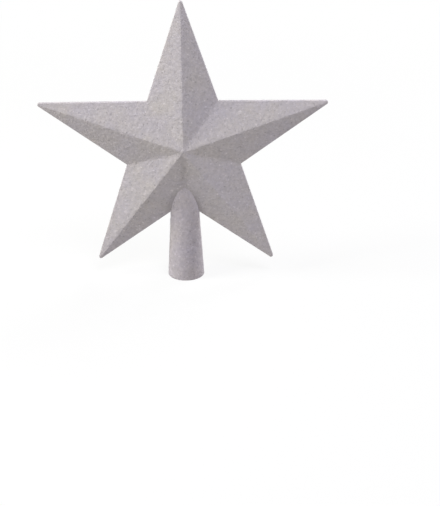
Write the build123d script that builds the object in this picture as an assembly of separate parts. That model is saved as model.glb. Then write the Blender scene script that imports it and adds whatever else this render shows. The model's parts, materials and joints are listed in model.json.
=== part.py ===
from build123d import *
import math
import os

# Tree topper star: two hollow faceted halves cemented over a tapered socket, all under glitter.
# Millimetres. The origin is the centre of the socket's mouth, +Z is up and -Y is the front.

# Star halves, bare of glitter
arm_count = 5
star_tip_radius = 100.8  # centre to an arm's tip, before the tip is rounded
star_notch_radius = 39.0  # centre to the corner between two arms
star_half_depth = 10.4  # seam to the peak of one half
star_rim_height = 0.8  # upright edge of one half, all round the outline
star_tip_round = 0.95
star_wall = 1.5
star_centre_height = 92.3  # above the socket's mouth

# Tongue on the front half's edge, and the groove for it in the rear half's edge
tongue_width = 0.9
tongue_height = 0.4
tongue_round = 0.9  # where the tongue turns at an arm's tip
glue_gap = 0.1

# Register pins of the front half, in bosses of the rear half
pin_radius = 1.4
pin_reach = 2.3  # past the seam
pin_clearance = 0.1
pin_end_gap = 0.3
pin_circle_radius = 44.0  # of the pins in the arms, about the star's centre
boss_radius = 3.0
boss_gap = 0.1  # from a boss to the seam, or to a socket ear

# Socket that slips over the top of the tree, bare of glitter
socket_mouth_radius = 11.8
socket_mouth_wall = 1.8
socket_lead_in = 0.8  # chamfer inside the mouth
socket_land_length = 10.0  # straight stretch of the bore at the mouth, with the chamfer
socket_neck_half_width = 9.05  # where the socket enters the star
socket_neck_half_depth = 4.65
socket_neck_drop = 3.5  # from the corner between the lower arms down to the neck
socket_end_half_width = 8.2  # of the closed end inside the star
socket_end_half_depth = 3.3
socket_end_rise = 24.0  # from the neck up to the closed end
socket_wall = 1.5
socket_glue_gap = 0.15  # between the socket and the cut-outs in the star halves

# Socket ears inside the star, each with a hole for a register pin
ear_thickness = 1.6
ear_radius = 3.2
ear_reach = 4.95  # from the side of the socket's neck out to the ear's pin
ear_rise = 6.5  # from the corner between the lower arms up to the ear's pin
ear_clearance = 0.2  # to the inside of the star halves

# Glitter and lacquer on the outside
coat_thickness = 0.35

# Shape values that follow from the sizes above
half_sector = math.pi / arm_count
star_edge_length = math.sqrt(
    star_tip_radius**2
    + star_notch_radius**2
    - 2 * star_tip_radius * star_notch_radius * math.cos(half_sector)
)
star_edge_distance = star_tip_radius * star_notch_radius * math.sin(half_sector) / star_edge_length
facet_slope = math.atan((star_half_depth - star_rim_height) / star_edge_distance)
notch_height = star_centre_height - star_notch_radius
socket_neck_height = notch_height - socket_neck_drop
socket_end_height = socket_neck_height + socket_end_rise
socket_bore_radius = socket_mouth_radius - socket_mouth_wall
pin_hole_radius = pin_radius + pin_clearance
pin_hole_depth = pin_reach + pin_end_gap

# Star halves are drawn on XY with their facets towards +Z, then stood up to face the front
stand_up = Pos(0, 0, star_centre_height) * Rot(90, 0, 0)


def star_corners(edge_distance):
    """Outline corners, a notch then a tip, for edges at this distance from the centre."""
    scale = edge_distance / star_edge_distance
    corners = []
    for arm in range(arm_count):
        notch_angle = -math.pi / 2 + 2 * arm * half_sector
        tip_angle = notch_angle + half_sector
        for radius, angle in ((star_notch_radius, notch_angle), (star_tip_radius, tip_angle)):
            corners.append(Vector(math.cos(angle), math.sin(angle), 0) * radius * scale)
    return corners


def star_outline(edge_distance, tip_round):
    """Flat star with rounded tips, for edges at this distance from the centre."""
    face = Face(Wire.make_polygon(star_corners(edge_distance)))
    tips = face.vertices().sort_by(lambda corner: Vector(corner).length)[-arm_count:]
    return face.fillet_2d(tip_round, tips)


def star_roof(inset):
    """Pyramid on the seam plane under the ten facets, each moved in by the inset."""
    peak = star_half_depth - inset / math.cos(facet_slope)
    corners = star_corners(peak / math.tan(facet_slope))
    facets = [Face(Wire.make_polygon(corners))]
    for corner, following in zip(corners, corners[1:] + corners[:1]):
        facets.append(Face(Wire.make_polygon([corner, following, Vector(0, 0, peak)])))
    return Solid(Shell(facets))


def star_block(outset):
    """Solid half star, with its facets, rim and tips moved out by the outset."""
    outline = star_outline(star_edge_distance + outset, star_tip_round + outset)
    return star_roof(-outset) & extrude(outline, star_half_depth + 2 * outset + star_wall)


def seam_ring(width, height):
    """Ridge that follows the middle of a half's edge, from the seam plane up."""
    cavity_edge = (star_half_depth - star_wall / math.cos(facet_slope)) / math.tan(facet_slope)
    middle = (star_edge_distance + cavity_edge) / 2
    outer = star_outline(middle + width / 2, tongue_round)
    inner = star_outline(middle - width / 2, tongue_round)
    return extrude(outer, height) - extrude(inner, height)


def in_both_halves(half):
    """The same shape in the front half and, mirrored, in the rear half."""
    front = stand_up * half
    return front + mirror(front, Plane.XZ)


def disc(place, radius, bottom, top):
    """Cylinder square to the seam plane at a place on it."""
    centre = Vector(place.X, place.Y, (bottom + top) / 2)
    return Pos(centre) * Cylinder(radius, top - bottom)


def tapered(*sections):
    """Solid that runs straight from each flat section to the next, given with their heights."""
    solid = Part()
    for (lower, bottom), (upper, top) in zip(sections, sections[1:]):
        solid += loft([Pos(0, 0, bottom) * lower, Pos(0, 0, top) * upper], ruled=True)
    return solid


def socket_form(outset):
    """Filled outside of the socket, moved out by the outset: round at its mouth, flat in the star."""
    mouth = Circle(socket_mouth_radius + outset)
    neck = Ellipse(socket_neck_half_width + outset, socket_neck_half_depth + outset)
    end = Ellipse(socket_end_half_width + outset, socket_end_half_depth + outset)
    return tapered((mouth, 0), (neck, socket_neck_height), (end, socket_end_height + outset))


def socket_bore():
    """Inside of the socket: chamfer, straight land, and a taper that goes flat up to its end."""
    on_floor = (Align.CENTER, Align.CENTER, Align.MIN)
    wide = socket_bore_radius + socket_lead_in
    lead_in = Cone(wide, socket_bore_radius, socket_lead_in, align=on_floor)
    land_length = socket_land_length - socket_lead_in
    land = Pos(0, 0, socket_lead_in) * Cylinder(socket_bore_radius, land_length, align=on_floor)
    round_top = Circle(socket_bore_radius)
    neck = Ellipse(socket_neck_half_width - socket_wall, socket_neck_half_depth - socket_wall)
    end = Ellipse(socket_end_half_width - socket_wall, socket_end_half_depth - socket_wall)
    taper = tapered(
        (round_top, socket_land_length),
        (neck, socket_neck_height),
        (end, socket_end_height - socket_wall),
    )
    return lead_in + land + taper


# Places of the register pins on the seam plane
arm_pins = []
for arm in range(arm_count):
    angle = -math.pi / 2 + (2 * arm + 1) * half_sector
    arm_pins.append(Vector(math.cos(angle), math.sin(angle)) * pin_circle_radius)
ear_pin_x = socket_neck_half_width + ear_reach
ear_pin_y = ear_rise - star_notch_radius
ear_pins = [Vector(-ear_pin_x, ear_pin_y), Vector(ear_pin_x, ear_pin_y)]
pin_places = [(place, boss_gap) for place in arm_pins]
pin_places += [(place, ear_thickness / 2 + boss_gap) for place in ear_pins]

# Outside of one half, and the wall that it has before the socket is cut out of it
bare_block = star_block(0)
plain_wall = bare_block - star_roof(star_wall)
bosses = [disc(place, boss_radius, gap, star_half_depth) & bare_block for place, gap in pin_places]

# Front half, with a tongue and pins that stand past the seam
front_pins = [disc(place, pin_radius, 0, star_half_depth) & bare_block for place, gap in pin_places]
front_pins += [disc(place, pin_radius, -pin_reach, 0) for place, gap in pin_places]
tongue = mirror(seam_ring(tongue_width, tongue_height), Plane.XY)
front_half = plain_wall + bosses + front_pins + tongue

# Rear half, with a groove and pin holes
groove = seam_ring(tongue_width + 2 * glue_gap, tongue_height + glue_gap)
pin_holes = [disc(place, pin_hole_radius, 0, pin_hole_depth) for place, gap in pin_places]
rear_half = plain_wall + bosses - pin_holes - groove

# Socket with its ears, cut to lie clear of the star's inside
bare_socket = socket_form(0)
ears = []
for place in ear_pins:
    plate = disc(place, ear_radius, -ear_thickness / 2, ear_thickness / 2)
    plate += Pos(place.X / 2, place.Y, 0) * Box(ear_pin_x, 2 * ear_radius, ear_thickness)
    plate -= disc(place, pin_hole_radius, -ear_thickness, ear_thickness)
    ears.append(stand_up * plate & in_both_halves(star_roof(star_wall + ear_clearance)))
trunk_socket = bare_socket + ears - socket_bore()

# Room for the socket and its cement in the star halves
socket_room = socket_form(socket_glue_gap)
front_shell = stand_up * front_half - socket_room
rear_shell = mirror(stand_up * rear_half, Plane.XZ) - socket_room

# Cement in the seam and round the socket
standing_tongue = stand_up * tongue
seam_adhesive = mirror(stand_up * groove, Plane.XZ) - standing_tongue - socket_room
socket_adhesive = in_both_halves(plain_wall) & (socket_room - bare_socket)

# Glitter coats, with each edge running up to its neighbour
coated_block = star_block(coat_thickness)
front_glitter_coat = stand_up * (coated_block - bare_block) - bare_socket
rear_glitter_coat = mirror(front_glitter_coat, Plane.XZ)
socket_glitter_coat = socket_form(coat_thickness) - bare_socket - in_both_halves(coated_block)

nodes = {
    "front_shell": front_shell,
    "rear_shell": rear_shell,
    "trunk_socket": trunk_socket,
    "seam_adhesive": seam_adhesive,
    "socket_adhesive": socket_adhesive,
    "front_glitter_coat": front_glitter_coat,
    "rear_glitter_coat": rear_glitter_coat,
    "socket_glitter_coat": socket_glitter_coat,
}

os.makedirs("parts", exist_ok=True)
for name, node in nodes.items():
    export_step(node, f"parts/{name}.step")
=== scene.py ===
"""Looks of the tree topper star: coats of fine glitter over its moulded plastic parts.

Metres, in the frame of the CAD model: the origin is the centre of the socket's mouth, +Z is up
and -Y is the front. Flat places on the star are (x, z) from its centre.
"""
import json
import math

import bmesh
import bpy
import numpy as np
from mathutils import Matrix, Vector
from mathutils.geometry import delaunay_2d_cdt


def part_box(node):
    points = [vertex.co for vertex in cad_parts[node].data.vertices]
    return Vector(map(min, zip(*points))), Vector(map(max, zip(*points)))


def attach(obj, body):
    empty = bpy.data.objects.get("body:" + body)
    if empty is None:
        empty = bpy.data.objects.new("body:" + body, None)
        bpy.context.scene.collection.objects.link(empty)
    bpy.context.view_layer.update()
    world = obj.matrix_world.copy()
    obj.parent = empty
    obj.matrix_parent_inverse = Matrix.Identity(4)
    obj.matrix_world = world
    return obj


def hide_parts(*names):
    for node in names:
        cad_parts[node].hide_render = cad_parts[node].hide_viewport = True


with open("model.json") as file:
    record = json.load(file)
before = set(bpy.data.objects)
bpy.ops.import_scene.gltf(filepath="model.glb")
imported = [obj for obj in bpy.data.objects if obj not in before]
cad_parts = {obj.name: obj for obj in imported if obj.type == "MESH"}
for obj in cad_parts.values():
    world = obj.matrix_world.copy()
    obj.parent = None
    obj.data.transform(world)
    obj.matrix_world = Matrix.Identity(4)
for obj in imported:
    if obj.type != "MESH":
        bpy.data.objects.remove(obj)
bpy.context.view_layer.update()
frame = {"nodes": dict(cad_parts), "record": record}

MM = 0.001

# Bare star halves and socket, as in the CAD source
ARM_COUNT = 5
TIP_RADIUS = 100.8 * MM
NOTCH_RADIUS = 39.0 * MM
HALF_DEPTH = 10.4 * MM
RIM_HEIGHT = 0.8 * MM
TIP_ROUND = 0.95 * MM
COAT = 0.35 * MM
NECK_HALF_WIDTH = 9.05 * MM
NECK_HALF_DEPTH = 4.65 * MM
NECK_DROP = 3.5 * MM
END_HALF_WIDTH = 8.2 * MM
END_HALF_DEPTH = 3.3 * MM
END_RISE = 24.0 * MM

# Grain of the glitter
GRAIN = 1.3 * MM  # usual distance between two corners of the faceted coat
GRAIN_HEIGHT = 0.048 * MM  # spread of the corners above and below the coat's even face
GRAIN_SCATTER = 0.36  # share of the grain by which a corner strays from its even place
EDGE_GRAIN = 0.4  # share of the grain's height that is left on the rolled edge
ARCH_DENSITY = 2.2  # steps along the arch for each grain
TIP_STEPS = 4  # fewest steps round a tip
BORDER_MARGIN = 0.45 * GRAIN  # a border keeps loose corners this far off
SOCKET_MARGIN = 0.15 * GRAIN  # and the socket's face this far

# Creases that lacquer has rounded
SHARP = 1e-9  # softness of a crease that stays sharp
RIDGE_SOFTNESS = 0.75 * MM  # half width of the rounding
VALLEY_SOFTNESS = 1.0 * MM
SOCKET_VALLEY_SOFTNESS = 3.2 * MM  # in the valley that the socket closes, where lacquer has pooled
SOCKET_VALLEY_REACH = 5 * MM  # to either side of that valley
SOFTNESS_ROOM = 0.3  # most softness, as a share of the distance from the peak

# Rows over the edge of a star coat: the facets' border, the rounded brow, the rim and the seam,
# as shares of the coat's thickness and of the brow's depth
EDGE_ROWS = ((0.0, 1.0), (0.78, 0.84), (1.0, 0.55), (0.95, 0.28), (0.5, 0.02), (0.0, 0.02))

# Painted shade on the star beside the socket and in the valley above it, where the corner's shade
# falls, 0 to 1
SHADE_CROWN = 0.15  # beside the socket, where its arch is highest
SHADE_FLANK = 0.5  # more than that at the arch's flanks
FLANK_DROP = 7 * MM  # from the crown down to a full flank
SHADE_ARCH_WIDTH = 4 * MM
SHADE_ARCH_POWER = 2.5  # how abruptly it ends at that width
SHADE_VALLEY = 0.4  # in the valley above the socket
SHADE_VALLEY_WIDTH = 2.8 * MM
SHADE_VALLEY_FADE = 6 * MM  # from the peak down to where it is full

# Painted light on the socket close under the star, where the corner's shade falls, 0 to 1
PAINTED_LIGHT_FRONT = 0.38
PAINTED_LIGHT_SIDES = 0.62  # more than that at the sides
PAINTED_LIGHT_DROP = 7 * MM
SOCKET_SHADE = 0.97  # painted shade over the socket where no painted light lifts it

# Coat on the socket
WRAP_STEPS = 720  # for measuring the way round the socket
WRAP_HEIGHT = 0.35  # share of the neck's height at which it is measured
LIP = 0.9 * COAT  # height of the lip's outer edge
LIP_ROWS = ((0.8 * COAT, 0.25 * COAT), (0.35 * COAT, 0.0), (0.0, 0.0))  # outsets and heights
NECK_ROOM = 0.97  # most height of the back's bend at the neck, as a share of its top
TOP_OVERLAP = 0.15 * COAT  # by which it runs on into the star's coat

# Materials
FLAKE_SIZE = 0.85 * MM
CLUMP_SIZE = 2.4 * MM
DRIFT_SIZE = 16 * MM
FLAKE_LEAN = 0.16  # how far a flake tilts
FLOW_SIZE = 11 * MM
FLOW_DARK, FLOW_LIGHT = 0.94, 1.03
GLOSS_SPREAD = 0.1
WHITE = (1, 1, 1, 1)

# Stage
FLOOR_REACH = 6.0
FLOOR_BOUNCE = (0.53, 0.514, 0.491, 1)  # paint that lights the object
FLOOR_PAINT = (0.66, 0.66, 0.66, 1)  # paint that shows
FLOOR_WHITE = 0.86  # share of plain white over the paint that shows, near the object
FADE_START, FADE_END = 0.25, 0.6  # distances between which the floor turns all white
SKY_LEVEL = 0.12
LAMP_DISTANCE = 1.4
LAMP_SIZE = 0.55

# Camera at the photograph's viewing angle, in degrees
CAMERA_AIM = Vector((0.02332, -0.0301, 0.0291))
CAMERA_DISTANCE = 1.1098
CAMERA_AZIMUTH = 0.623
CAMERA_ELEVATION = 25.62
CAMERA_ROLL = -0.754
SENSOR_WIDTH = 36.0
FOCAL_LENGTH = 120.43

# Shape values that follow from the sizes above
HALF_SECTOR = math.pi / ARM_COUNT
EDGE_LENGTH = math.sqrt(
    TIP_RADIUS**2 + NOTCH_RADIUS**2 - 2 * TIP_RADIUS * NOTCH_RADIUS * math.cos(HALF_SECTOR)
)
EDGE_DISTANCE = TIP_RADIUS * NOTCH_RADIUS * math.sin(HALF_SECTOR) / EDGE_LENGTH
EDGE_TURN = math.acos(EDGE_DISTANCE / TIP_RADIUS)  # an edge's normal from its arm's ridge
SLOPE = (HALF_DEPTH - RIM_HEIGHT) / EDGE_DISTANCE
COAT_PEAK = HALF_DEPTH + COAT * math.hypot(1, SLOPE)
TIP_CENTRE = (EDGE_DISTANCE - TIP_ROUND) / math.cos(EDGE_TURN)  # of the rounding at a tip
COAT_TIP = TIP_CENTRE + TIP_ROUND + COAT
CENTRE_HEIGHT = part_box("front_glitter_coat")[1].z - COAT_TIP
MOUTH_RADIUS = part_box("socket_glitter_coat")[1].x - COAT
NECK_HEIGHT = CENTRE_HEIGHT - NOTCH_RADIUS - NECK_DROP
END_HEIGHT = NECK_HEIGHT + END_RISE
BELOW_ARCH = NECK_HEIGHT - 2 * NECK_HALF_WIDTH  # a height at which the socket is clear of the star

# Ways of working
HALVINGS = 40  # of a span in which a crossing is looked for
BESIDE_FALL = 4  # how fast the depth that stands for a place beside the socket goes below 0
INSIDE_BORDER = 1  # the triangulation's output type that keeps what a border encloses
SAME_PLACE = 1e-7  # the triangulation's tolerance, in millimetres


def along(turn):
    """Unit vector on the star's plane, turned clockwise from the top arm."""
    return np.stack([np.sin(turn), np.cos(turn)], -1)


def softened(distance, softness):
    """Distance from a crease, rounded off near it."""
    distance = np.abs(distance)
    near = (distance**2 / softness + softness) / 2
    return np.where(distance < softness, near, distance)


def edge_reach(place, ridge=SHARP, valley=SHARP):
    """Distance from the centre to a place, square to the edge of its facet, creases softened."""
    radius = np.hypot(place[..., 0], place[..., 1])
    turn = np.arctan2(place[..., 0], place[..., 1])
    off_ridge = np.abs((turn + HALF_SECTOR) % (2 * HALF_SECTOR) - HALF_SECTOR)
    off_valley = HALF_SECTOR - off_ridge
    to_valley = EDGE_TURN - HALF_SECTOR
    by_ridge = radius * np.cos(off_ridge) * math.cos(EDGE_TURN)
    by_ridge += softened(radius * np.sin(off_ridge), ridge) * math.sin(EDGE_TURN)
    by_valley = radius * np.cos(off_valley) * math.cos(to_valley)
    by_valley -= softened(radius * np.sin(off_valley), valley) * math.sin(to_valley)
    return np.where(off_ridge < off_valley, by_ridge, by_valley)


def coat_depth(place):
    """Depth of the coat's even face at a place, from the seam plane."""
    above_socket = (np.abs(place[..., 0]) < SOCKET_VALLEY_REACH) & (place[..., 1] < 0)
    valley = np.where(above_socket, SOCKET_VALLEY_SOFTNESS, VALLEY_SOFTNESS)
    room = SOFTNESS_ROOM * np.hypot(place[..., 0], place[..., 1]) + SHARP
    reach = edge_reach(place, np.minimum(RIDGE_SOFTNESS, room), np.minimum(valley, room))
    return COAT_PEAK - SLOPE * reach


def shell_depth(place):
    """Depth of the bare shell's face at a place, from the seam plane."""
    return HALF_DEPTH - SLOPE * edge_reach(place)


def socket_oval(height, outset=0.0):
    """Half width and half depth of the socket's outside at a height above its mouth."""
    levels = (0.0, NECK_HEIGHT, END_HEIGHT)
    half_width = np.interp(height, levels, (MOUTH_RADIUS, NECK_HALF_WIDTH, END_HALF_WIDTH))
    half_depth = np.interp(height, levels, (MOUTH_RADIUS, NECK_HALF_DEPTH, END_HALF_DEPTH))
    return half_width + outset, half_depth + outset


def socket_depth(place, outset=0.0):
    """Depth of the socket's face at a place on the star, from the seam plane; below 0 beside it."""
    half_width, half_depth = socket_oval(place[..., 1] + CENTRE_HEIGHT, outset)
    share = np.abs(place[..., 0]) / half_width
    inside = half_depth * np.sqrt(np.clip(1 - share**2, 0, 1))
    return np.where(share < 1, inside, -half_depth * (share - 1) * BESIDE_FALL)


def clear_of_socket(places, depth, outset):
    """Whether places at these depths lie outside the socket."""
    above_end = places[:, 1] + CENTRE_HEIGHT > END_HEIGHT
    return (depth > socket_depth(places, outset) + SOCKET_MARGIN) | above_end


def crossing(inside, low, high):
    """Where a test turns from true to false between low and high, by halving."""
    for _ in range(HALVINGS):
        middle = (low + high) / 2
        held = inside(middle)
        low, high = np.where(held, middle, low), np.where(held, high, middle)
    return (low + high) / 2


def steps(start, end, count):
    """Places from start up to, and without, end."""
    return start + (end - start) * (np.arange(count) / count)[:, None]


def outline(outset, depth):
    """Row of places round the star at an outset and depth, from side to side of the socket."""
    notch = (EDGE_DISTANCE + outset) / math.cos(EDGE_TURN - HALF_SECTOR)
    edge_count = round(EDGE_LENGTH / GRAIN)
    bend_count = max(TIP_STEPS, round(2 * EDGE_TURN * (TIP_ROUND + COAT) / GRAIN))
    row = []
    for arm in range(ARM_COUNT):
        tip_turn = math.pi + (2 * arm + 1) * HALF_SECTOR
        bend = np.linspace(tip_turn - EDGE_TURN, tip_turn + EDGE_TURN, bend_count + 1)
        bend = along(np.array(tip_turn)) * TIP_CENTRE + along(bend) * (TIP_ROUND + outset)
        before = along(np.array(tip_turn - HALF_SECTOR)) * notch
        after = along(np.array(tip_turn + HALF_SECTOR)) * notch
        if arm == 0:
            before = beside_socket(before, bend[0], depth)
        if arm == ARM_COUNT - 1:
            after = beside_socket(after, bend[-1], depth)
        row += [steps(before, bend[0], edge_count), bend[:-1], steps(bend[-1], after, edge_count)]
    return np.concatenate(row + [after[None]])


def beside_socket(notch, tip, depth):
    """Where an edge from the notch above the socket to a tip comes out of the socket's side."""

    def hidden(share):
        return depth < socket_depth(notch + (tip - notch) * share)

    return notch + (tip - notch) * crossing(hidden, 0.0, 1.0)


def arch(start, end, face_depth, outset):
    """Places where the socket comes out of the star's face, from start round to end."""
    ends = [
        math.asin(place[0] / socket_oval(place[1] + CENTRE_HEIGHT)[0]) for place in (start, end)
    ]
    count = round(ARCH_DENSITY * abs(ends[1] - ends[0]) * NECK_HALF_WIDTH / GRAIN)
    turn = np.linspace(*ends, count + 1)[1:-1]

    def at(height):
        return np.stack([socket_oval(height, outset)[0] * np.sin(turn), height - CENTRE_HEIGHT], -1)

    def below(height):
        return socket_oval(height, outset)[1] * np.cos(turn) > face_depth(at(height))

    low, high = np.full(len(turn), BELOW_ARCH), np.full(len(turn), END_HEIGHT)
    return at(crossing(below, low, high))


def scattered(low, high, rng):
    """Places spread evenly but not regularly over a rectangle."""
    row_step = GRAIN * math.sqrt(3) / 2
    columns = np.arange(low[0], high[0], GRAIN)
    rows = np.arange(low[1], high[1], row_step)
    x, z = np.meshgrid(columns, rows)
    x = x + GRAIN / 2 * (np.arange(len(rows)) % 2)[:, None]
    grid = np.stack([x.ravel(), z.ravel()], -1)
    return grid + rng.uniform(-GRAIN_SCATTER, GRAIN_SCATTER, grid.shape) * GRAIN


def triangulated(border, inner):
    """Triangles over the places inside a closed border. Place i keeps its number."""
    places = [Vector(place / MM) for place in np.concatenate([border, inner])]
    ring = list(range(len(border)))
    _, _, faces, origin, _, _ = delaunay_2d_cdt(places, [], [ring], INSIDE_BORDER, SAME_PLACE)
    number = [first[0] for first in origin]
    return [tuple(number[corner] for corner in face) for face in faces]


def in_scene(name, data):
    """A new object in the scene."""
    made = bpy.data.objects.new(name, data)
    bpy.context.scene.collection.objects.link(made)
    return made


class Layer:
    """A closed mesh that is put together from rows and patches of corners."""

    def __init__(self):
        self.corners, self.bare, self.faces, self.count = [], [], [], 0

    def add(self, corners, bare=0.0):
        """Adds corners, with their painted shade, and returns their numbers."""
        self.corners.append(np.asarray(corners, float))
        self.bare.append(np.broadcast_to(bare, len(corners)))
        self.count += len(corners)
        return np.arange(self.count - len(corners), self.count)

    def fill(self, numbers, border, inner):
        """Fills a closed border over flat places, whose corners have these numbers."""
        self.faces += [tuple(numbers[list(corners)]) for corners in triangulated(border, inner)]

    def join(self, row, other):
        """Fills the strip between two rows of as many corners."""
        for a, b, c, d in zip(row[:-1], row[1:], other[1:], other[:-1]):
            self.faces += [(a, b, c), (a, c, d)]

    def join_uneven(self, front, rear):
        """Fills the strip between two rows with different numbers of corners."""
        a = b = 0
        last_a, last_b = len(front) - 1, len(rear) - 1
        while a < last_a or b < last_b:
            front_next = a < last_a and (a + 1) * last_b <= (b + 1) * last_a
            if b == last_b or front_next:
                self.faces.append((front[a], front[a + 1], rear[b]))
                a += 1
            else:
                self.faces.append((front[a], rear[b + 1], rear[b]))
                b += 1

    def made(self, name):
        """The finished piece, with all its faces turned outwards."""
        mesh = bpy.data.meshes.new(name)
        faces = [[int(corner) for corner in face] for face in self.faces]
        mesh.from_pydata(np.concatenate(self.corners).tolist(), [], faces)
        shape = bmesh.new()
        shape.from_mesh(mesh)
        bmesh.ops.recalc_face_normals(shape, faces=shape.faces)
        shape.to_mesh(mesh)
        shape.free()
        # Each corner's painted shade goes into the mesh, for the glitter to darken by
        bare = mesh.attributes.new("bare", "FLOAT", "POINT")
        bare.data.foreach_set("value", np.concatenate(self.bare).astype(np.float32))
        return in_scene(name, mesh)


def grain(rng, count):
    """Heights of corners above the coat's even face: mostly small, with no far outliers."""
    return np.clip(rng.normal(0, GRAIN_HEIGHT, count), -2 * GRAIN_HEIGHT, 2 * GRAIN_HEIGHT)


def bareness(places, off_arch, crown):
    """Painted shade beside the socket, whose arch has its crown at a height, and above it."""
    flank = np.clip((crown - places[:, 1]) / FLANK_DROP, 0, 1)
    near_arch = np.exp(-((off_arch / SHADE_ARCH_WIDTH) ** SHADE_ARCH_POWER))
    fade = np.clip(-places[:, 1] / SHADE_VALLEY_FADE, 0, 1)
    in_valley = np.exp(-((places[:, 0] / SHADE_VALLEY_WIDTH) ** 2))
    return np.maximum((SHADE_CROWN + SHADE_FLANK * flank) * near_arch, SHADE_VALLEY * fade * in_valley)


def standing(place, depth, side):
    """Corners in the object's frame, for places on the star at depths from its seam plane."""
    depth = np.broadcast_to(depth, len(place))
    return np.stack([place[:, 0], side * depth, place[:, 1] + CENTRE_HEIGHT], -1)


def off_line(places, line):
    """Distance of places from a straight row of places that starts at the centre."""
    way = line[-1] / np.linalg.norm(line[-1])
    run = np.clip(places @ way, 0, np.linalg.norm(line[-1]))
    return np.linalg.norm(places - run[:, None] * way, axis=-1)


def within_face(places):
    """Whether places lie on the coat's face, clear of its outline and of the socket."""
    inside = edge_reach(places) < EDGE_DISTANCE - BORDER_MARGIN
    for arm in range(ARM_COUNT):
        tip = along(np.array(2 * arm * HALF_SECTOR))
        past = places @ tip > TIP_CENTRE
        off_tip = np.linalg.norm(places - tip * TIP_CENTRE, axis=-1)
        inside &= ~past | (off_tip < TIP_ROUND - BORDER_MARGIN)
    return inside & clear_of_socket(places, coat_depth(places), COAT)


def star_coat(name, side, seed):
    """Glitter on one half of the star: a grainy outside, a rolled edge and a plain inside."""
    rng = np.random.default_rng(seed)
    layer = Layer()
    brow = COAT_PEAK - SLOPE * EDGE_DISTANCE
    profile = [(outset * COAT, depth * brow) for outset, depth in EDGE_ROWS]
    profile.append((0.0, RIM_HEIGHT))
    rows = [outline(outset, depth) for outset, depth in profile]
    outer_arch = arch(rows[0][-1], rows[0][0], coat_depth, COAT)
    inner_arch = arch(rows[-1][-1], rows[-1][0], shell_depth, 0.0)

    # Grainy outside
    border = np.concatenate([rows[0], outer_arch])
    inner = scattered(-np.full(2, COAT_TIP), np.full(2, COAT_TIP), rng)
    inner = inner[within_face(inner)]
    ridges = [
        along(np.array(2 * arm * HALF_SECTOR)) * np.arange(0, TIP_CENTRE, GRAIN)[:, None]
        for arm in range(ARM_COUNT)
    ]
    off_ridges = np.min([off_line(inner, ridge) for ridge in ridges], 0)
    inner = np.concatenate([inner[off_ridges > GRAIN / 2], *ridges])
    places = np.concatenate([border, inner])
    off_arch = np.min(np.linalg.norm(places[:, None] - outer_arch, axis=-1), 1)
    depth = coat_depth(places) + grain(rng, len(places)) * np.clip(off_arch / GRAIN, 0, 1)
    depth[: len(rows[0])] = brow + EDGE_GRAIN * grain(rng, len(rows[0]))
    # Painted shade on the facets round the socket's arch and in the valley above it
    bare = bareness(places, off_arch, outer_arch[:, 1].max())
    face = layer.add(standing(places, depth, side), bare)
    layer.fill(face, border, inner)

    # Rolled edge and the back of the coat, which lies on the shell
    numbers = [face[: len(rows[0])]]
    for row, (outset, depth) in zip(rows[1:], profile[1:]):
        on_coat = outset > 0
        level = depth + on_coat * EDGE_GRAIN * grain(rng, len(row))
        spread = 1 - on_coat * EDGE_GRAIN * np.abs(grain(rng, len(row))) / EDGE_DISTANCE
        numbers.append(layer.add(standing(row * spread[:, None], level, side)))
        layer.join(numbers[-2], numbers[-1])
    back = np.concatenate([rows[-1], inner_arch])
    creases = [
        along(np.array(crease * HALF_SECTOR)) * np.arange(GRAIN, end - GRAIN, GRAIN)[:, None]
        for crease, end in enumerate(ARM_COUNT * (TIP_CENTRE, NOTCH_RADIUS))
    ]
    hidden = np.concatenate([np.zeros((1, 2)), *creases])
    hidden = hidden[clear_of_socket(hidden, shell_depth(hidden), 0.0)]
    arch_back = layer.add(standing(inner_arch, shell_depth(inner_arch), side))
    inside = layer.add(standing(hidden, shell_depth(hidden), side))
    layer.fill(np.concatenate([numbers[-1], arch_back, inside]), back, hidden)

    # Ends of the coat on the socket
    arch_face = face[len(rows[0]) : len(border)]
    layer.join_uneven(
        [numbers[0][-1], *arch_face, numbers[0][0]],
        [numbers[-1][-1], *arch_back, numbers[-1][0]],
    )
    for end in (0, -1):
        layer.faces.append(tuple(row[end] for row in numbers))
    return layer.made(name)


def around(turn, height, outset):
    """Corners round the socket's axis, the turn counted from the front, moved out square to it."""
    half_width, half_depth = socket_oval(height)
    out = np.stack([half_depth * np.sin(turn), half_width * np.cos(turn)], -1)
    out /= np.linalg.norm(out, axis=-1, keepdims=True)
    x = half_width * np.sin(turn) + outset * out[:, 0]
    depth = half_depth * np.cos(turn) + outset * out[:, 1]
    return np.stack([x, -depth, height], -1)


def socket_top(turn, outset):
    """Heights at which the socket's side runs into the star's coat, a little past its face."""

    def outside(height):
        half_width, half_depth = socket_oval(height, outset)
        place = np.stack([half_width * np.sin(turn), height - CENTRE_HEIGHT], -1)
        covered = np.abs(half_depth * np.cos(turn)) < coat_depth(place)
        return ~(covered & (edge_reach(place) < EDGE_DISTANCE + COAT))

    low, high = np.full(len(turn), BELOW_ARCH), np.full(len(turn), END_HEIGHT)
    return crossing(outside, low, high) + TOP_OVERLAP


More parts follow.
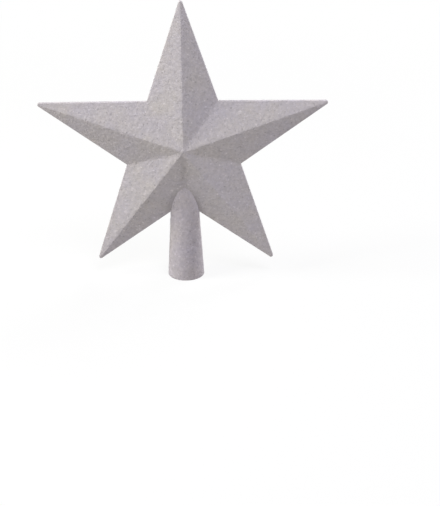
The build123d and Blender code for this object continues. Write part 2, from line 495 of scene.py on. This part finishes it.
def socket_coat(name, seed):
    """Glitter on the socket outside the star: a grainy outside, a rolled lip and a plain inside."""
    rng = np.random.default_rng(seed)
    layer = Layer()
    # The outside is laid out flat, with the way round the socket on X, and meets itself at the back
    fine_turn = np.linspace(-math.pi, math.pi, WRAP_STEPS + 1)
    fine_height = np.full(WRAP_STEPS + 1, WRAP_HEIGHT * NECK_HEIGHT)
    chords = np.diff(around(fine_turn, fine_height, COAT), axis=0)
    fine_way = np.append(0, np.cumsum(np.linalg.norm(chords, axis=1)))
    way = np.linspace(0, fine_way[-1], round(fine_way[-1] / GRAIN) + 1)

    def turn_at(way):
        return np.interp(way, fine_way, fine_turn)

    turn = turn_at(way)
    top = socket_top(turn, COAT)
    side = np.linspace(LIP, top[0], round((top[0] - LIP) / GRAIN) + 1)[1:-1]
    lower = np.stack([way, np.full(len(way), LIP)], -1)
    upper = np.stack([way, top], -1)[::-1]
    right = np.stack([np.full(len(side), way[-1]), side], -1)
    left = np.stack([np.zeros(len(side)), side[::-1]], -1)
    border = np.concatenate([lower, right, upper, left])
    inner = scattered(border.min(0), border.max(0), rng)
    keep = inner[:, 1] > LIP + BORDER_MARGIN
    keep &= np.abs(inner[:, 0] - way[-1] / 2) < way[-1] / 2 - BORDER_MARGIN
    keep &= inner[:, 1] < np.interp(inner[:, 0], way, top) - BORDER_MARGIN
    inner = inner[keep]
    places = np.concatenate([border, inner])
    turns, height = turn_at(places[:, 0]), places[:, 1]
    below_top = np.interp(places[:, 0], way, top) - height
    outset = COAT + grain(rng, len(places)) * np.clip(below_top / GRAIN, 0, 1)
    # Painted light: the socket's coat is lighter close under the star, most at its sides
    painted_light = PAINTED_LIGHT_FRONT + PAINTED_LIGHT_SIDES * np.sin(turns) ** 2
    painted_light = painted_light * np.exp(-np.clip(below_top, 0, None) / PAINTED_LIGHT_DROP)
    face = layer.add(around(turns, height, outset), SOCKET_SHADE * (1 - painted_light))
    # The left border takes the right one's corners
    first_left = 2 * len(way) + len(side)
    face[first_left:][: len(side)] = face[len(way) :][: len(side)][::-1]
    face[0] = face[len(way) - 1]
    face[first_left - 1] = face[len(way) + len(side)]
    layer.fill(face, border, inner)

    # Rolled lip at the mouth, then the back of the coat on the socket, then the top edge
    rows = [face[: len(way)]]
    inner_top = socket_top(turn, 0.0)
    inner_neck = np.minimum(NECK_HEIGHT, NECK_ROOM * inner_top)
    for outset, level in (*LIP_ROWS, (0.0, inner_neck), (0.0, inner_top)):
        level = np.broadcast_to(level, len(way))
        row = layer.add(around(turn[:-1], level[:-1], outset))
        rows.append(np.append(row, row[0]))
        layer.join(rows[-2], rows[-1])
    layer.join(rows[-1], face[len(way) + len(side) : first_left][::-1])
    return layer.made(name)


def new_material(name):
    """A new material, its nodes and its Principled shader."""
    material = bpy.data.materials.new(name)
    material.use_nodes = True
    return material, material.node_tree, material.node_tree.nodes["Principled BSDF"]


def feed(tree, socket, value):
    """Sets an input, or links it where the value is another node's output."""
    if isinstance(value, bpy.types.NodeSocket):
        tree.links.new(value, socket)
    else:
        socket.default_value = value


def node(tree, kind, inputs=None, **settings):
    """A shader node with its settings, and its inputs set or linked."""
    made = tree.nodes.new("ShaderNode" + kind)
    for key, value in settings.items():
        setattr(made, key, value)
    for key, value in (inputs or {}).items():
        feed(tree, made.inputs[key], value)
    return made


def ramp(tree, factor, stops):
    """A colour ramp over a factor."""
    made = node(tree, "ValToRGB", {"Fac": factor})
    points = made.color_ramp.elements
    while len(points) < len(stops):
        points.new(0.5)
    for point, (place, colour) in zip(points, stops):
        point.position = place
        point.color = (*colour, 1)
    return made.outputs["Color"]


def mixed(tree, kind, factor, first, second):
    """Two colours mixed in one of Blender's ways."""
    made = node(tree, "Mix", data_type="RGBA", blend_type=kind)
    # A Mix node has its factor and its two colours at these places
    for place, value in ((0, factor), (6, first), (7, second)):
        feed(tree, made.inputs[place], value)
    return made.outputs[2]


def grey(level):
    """A colour without a tint."""
    return (level, level, level)


def glitter_material(name, wash):
    """Fine pale glitter in clear lacquer: flakes with their own tone, tint, tilt and gloss,
    darkened by the painted shade that the mesh carries.
    """
    material, tree, shader = new_material(name)
    place = node(tree, "TexCoord").outputs["Object"]
    flakes = node(tree, "TexVoronoi", {"Vector": place, "Scale": 1 / FLAKE_SIZE})
    chance = node(tree, "SeparateColor", {"Color": flakes.outputs["Color"]})
    clumps = node(tree, "TexNoise", {"Vector": place, "Scale": 1 / CLUMP_SIZE, "Detail": 1.0})
    patches = node(tree, "TexNoise", {"Vector": place, "Scale": 1 / DRIFT_SIZE, "Detail": 2.0})
    # Painted shade that the mesh carries, 0 to 1
    bare = node(tree, "Attribute", attribute_name="bare").outputs["Fac"]
    tint_stops = [
        (0.0, (0.452, 0.430, 0.453)),
        (0.35, (0.461, 0.434, 0.447)),
        (0.7, (0.450, 0.432, 0.458)),
        (1.0, (0.465, 0.437, 0.442)),
    ]
    tone_stops = [
        (0.0, grey(0.72)),
        (0.05, grey(0.94)),
        (0.5, grey(1.0)),
        (0.95, grey(1.05)),
        (1.0, grey(1.28)),
    ]
    drift_stops = [(0.3, (0.965, 0.955, 1.0)), (0.7, (1.0, 0.985, 0.95))]
    tint = ramp(tree, chance.outputs["Green"], tint_stops)
    tone = ramp(tree, chance.outputs["Red"], tone_stops)
    clumped = ramp(tree, clumps.outputs["Fac"], [(0.25, grey(0.92)), (0.75, grey(1.08))])
    drift = ramp(tree, patches.outputs["Fac"], drift_stops)
    # Painted shade: the colour falls to 0.7 of itself where the mesh's painted shade is full
    painted_dark = ramp(tree, bare, [(0.0, grey(1.0)), (1.0, (0.70, 0.69, 0.69))])
    colour = tint
    for veil in (tone, clumped, drift, (*wash, 1), painted_dark):
        colour = mixed(tree, "MULTIPLY", 1.0, colour, veil)
    feed(tree, shader.inputs["Base Color"], colour)
    # Few flakes lie bare on the lacquer and glint
    gloss_stops = [(0.0, grey(0.25)), (0.08, grey(0.54)), (1.0, grey(0.80))]
    feed(tree, shader.inputs["Roughness"], ramp(tree, chance.outputs["Blue"], gloss_stops))
    centred = {0: flakes.outputs["Color"], 1: grey(0.5)}
    lean = node(tree, "VectorMath", centred, operation="SUBTRACT")
    lean = node(tree, "VectorMath", {0: lean.outputs[0], "Scale": FLAKE_LEAN}, operation="SCALE")
    normal = node(tree, "NewGeometry").outputs["Normal"]
    normal = node(tree, "VectorMath", {0: normal, 1: lean.outputs[0]}, operation="ADD")
    normal = node(tree, "VectorMath", {0: normal.outputs[0]}, operation="NORMALIZE")
    feed(tree, shader.inputs["Normal"], normal.outputs[0])
    shader.inputs["Coat Weight"].default_value = 0.04
    shader.inputs["Coat Roughness"].default_value = 0.35
    return material


def plastic_material(name, colour, roughness, grain_size):
    """Plain moulded polystyrene: faint flow marks and a fine eroded grain."""
    material, tree, shader = new_material(name)
    place = node(tree, "TexCoord").outputs["Object"]
    marks = {"Vector": place, "Scale": 1 / FLOW_SIZE, "Detail": 3.0, "Distortion": 0.8}
    flow = node(tree, "TexNoise", marks).outputs["Fac"]
    fine = node(tree, "TexNoise", {"Vector": place, "Scale": 1 / grain_size, "Detail": 3.0})
    fine = fine.outputs["Fac"]
    dark = [FLOW_DARK * channel for channel in colour]
    light = [min(1, FLOW_LIGHT * channel) for channel in colour]
    feed(tree, shader.inputs["Base Color"], ramp(tree, flow, [(0.3, dark), (0.7, light)]))
    spread = {"To Min": roughness - GLOSS_SPREAD, "To Max": roughness + GLOSS_SPREAD}
    gloss = node(tree, "MapRange", {"Value": fine, **spread})
    feed(tree, shader.inputs["Roughness"], gloss.outputs["Result"])
    bump = node(tree, "Bump", {"Height": fine, "Strength": 0.15, "Distance": 0.05 * MM})
    feed(tree, shader.inputs["Normal"], bump.outputs["Normal"])
    return material


def seen_ray(tree):
    """1 for rays from the camera, or from a mirror or glass, and 0 for others."""
    path = node(tree, "LightPath").outputs
    seen = path["Is Camera Ray"]
    for kind in ("Is Glossy Ray", "Is Transmission Ray"):
        seen = node(tree, "Math", {0: seen, 1: path[kind]}, operation="MAXIMUM").outputs[0]
    return seen


def stage_floor():
    """White floor under the object, which shows its soft shadow."""
    mesh = bpy.data.meshes.new("floor")
    sides = ((-1, -1), (1, -1), (1, 1), (-1, 1))
    corners = [(x * FLOOR_REACH, y * FLOOR_REACH, 0) for x, y in sides]
    mesh.from_pydata(corners, [], [(0, 1, 2, 3)])
    floor = in_scene("floor", mesh)
    material = bpy.data.materials.new("floor")
    material.use_nodes = True
    tree = material.node_tree
    tree.nodes.clear()
    seen = seen_ray(tree)
    paint = mixed(tree, "MIX", seen, FLOOR_BOUNCE, FLOOR_PAINT)
    lit = node(tree, "BsdfDiffuse", {"Color": paint})
    white = node(tree, "Emission", {"Color": WHITE, "Strength": 1.0})
    place = node(tree, "TexCoord").outputs["Object"]
    far = node(tree, "VectorMath", {0: place}, operation="LENGTH").outputs["Value"]
    span = {"From Min": FADE_START, "From Max": FADE_END, "To Min": FLOOR_WHITE, "To Max": 1.0}
    plain = node(tree, "MapRange", {"Value": far, **span}, interpolation_type="SMOOTHSTEP")
    share = node(tree, "Math", {0: seen, 1: plain.outputs["Result"]}, operation="MULTIPLY")
    both = node(tree, "MixShader", {0: share.outputs[0], 1: lit.outputs[0], 2: white.outputs[0]})
    node(tree, "OutputMaterial", {"Surface": both.outputs[0]})
    mesh.materials.append(material)


def stage_light():
    """Soft lamps from the left, from above and from the rear, in a faint even sky."""
    world = bpy.data.worlds.new("sky")
    bpy.context.scene.world = world
    world.use_nodes = True
    tree = world.node_tree
    tree.nodes.clear()
    sky = node(tree, "Background", {"Color": WHITE, "Strength": SKY_LEVEL})
    white = node(tree, "Background", {"Color": WHITE, "Strength": 1.0})
    both = node(tree, "MixShader", {0: seen_ray(tree), 1: sky.outputs[0], 2: white.outputs[0]})
    node(tree, "OutputWorld", {"Surface": both.outputs[0]})
    softbox("key", -80.0, 35.0, 22.1, (1.0, 1.0, 0.925))
    softbox("top", 30.0, 60.0, 12.8, (0.915, 0.905, 1.0))
    softbox("rear_key", 120.0, 14.0, 9.6, grey(1.0))
    softbox("rear_top", 145.0, 42.0, 6.0, grey(1.0))
    softbox("rear_left", -122.0, 12.0, 2.5, grey(1.0))


def softbox(name, azimuth, elevation, power, colour):
    """A square soft lamp that looks at the star's centre."""
    lamp = bpy.data.lights.new(name, "AREA")
    lamp.shape, lamp.size, lamp.energy, lamp.color = "SQUARE", LAMP_SIZE, power, colour
    holder = in_scene(name, lamp)
    way = seen_from(azimuth, elevation)
    holder.location = Vector((0, 0, CENTRE_HEIGHT)) + way * LAMP_DISTANCE
    holder.rotation_mode = "QUATERNION"
    holder.rotation_quaternion = (-way).to_track_quat("-Z", "Y")


def seen_from(azimuth, elevation):
    """Unit vector at angles to the right of the front and above the floor, in degrees."""
    azimuth, elevation = math.radians(azimuth), math.radians(elevation)
    level = math.cos(elevation)
    return Vector((math.sin(azimuth) * level, -math.cos(azimuth) * level, math.sin(elevation)))


def stage_camera():
    """Camera at the photograph's viewing angle: a little above, almost straight on."""
    roll = math.radians(CAMERA_ROLL)
    back = seen_from(CAMERA_AZIMUTH, CAMERA_ELEVATION)
    right = seen_from(CAMERA_AZIMUTH + 90, 0)
    up = back.cross(right)
    tilted_right = right * math.cos(roll) + up * math.sin(roll)
    tilted_up = up * math.cos(roll) - right * math.sin(roll)
    lens = bpy.data.cameras.new("camera")
    lens.sensor_width = SENSOR_WIDTH
    lens.lens = FOCAL_LENGTH
    camera = in_scene("camera", lens)
    turn = Matrix((tilted_right, tilted_up, back)).transposed()
    place = Matrix.Translation(CAMERA_AIM + back * CAMERA_DISTANCE)
    camera.matrix_world = place @ turn.to_4x4()
    bpy.context.scene.camera = camera


def dress(piece, material):
    """Gives a piece its only material."""
    piece.data.materials.clear()
    piece.data.materials.append(material)


stage_camera()
stage_light()
stage_floor()
star_glitter = glitter_material("star_glitter", grey(1.0))
# The socket's glitter is washed lighter; with its painted shade and painted light it is darker than
# the star's at the mouth and lighter at its sides under the star
socket_glitter = glitter_material("socket_glitter", (1.2, 1.195, 1.23))
coats = {
    "front_glitter_coat": star_coat("front_glitter", side=-1, seed=11),
    "rear_glitter_coat": star_coat("rear_glitter", side=1, seed=12),
    "socket_glitter_coat": socket_coat("socket_glitter", seed=13),
}
for replaced, piece in coats.items():
    dress(piece, socket_glitter if replaced == "socket_glitter_coat" else star_glitter)
    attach(piece, "root")
    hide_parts(replaced)

finishes = {
    "shell_plastic": plastic_material("shell_plastic", (0.80, 0.78, 0.78), 0.35, 0.6 * MM),
    "socket_plastic": plastic_material("socket_plastic", (0.74, 0.72, 0.73), 0.5, 0.4 * MM),
    "cement": plastic_material("cement", (0.78, 0.75, 0.66), 0.25, 1.2 * MM),
}
for part in frame["record"]["subparts"]:
    if part["material_slot"] in finishes:
        dress(frame["nodes"][part["node"]], finishes[part["material_slot"]])

bpy.context.scene.view_settings.view_transform = "Standard"
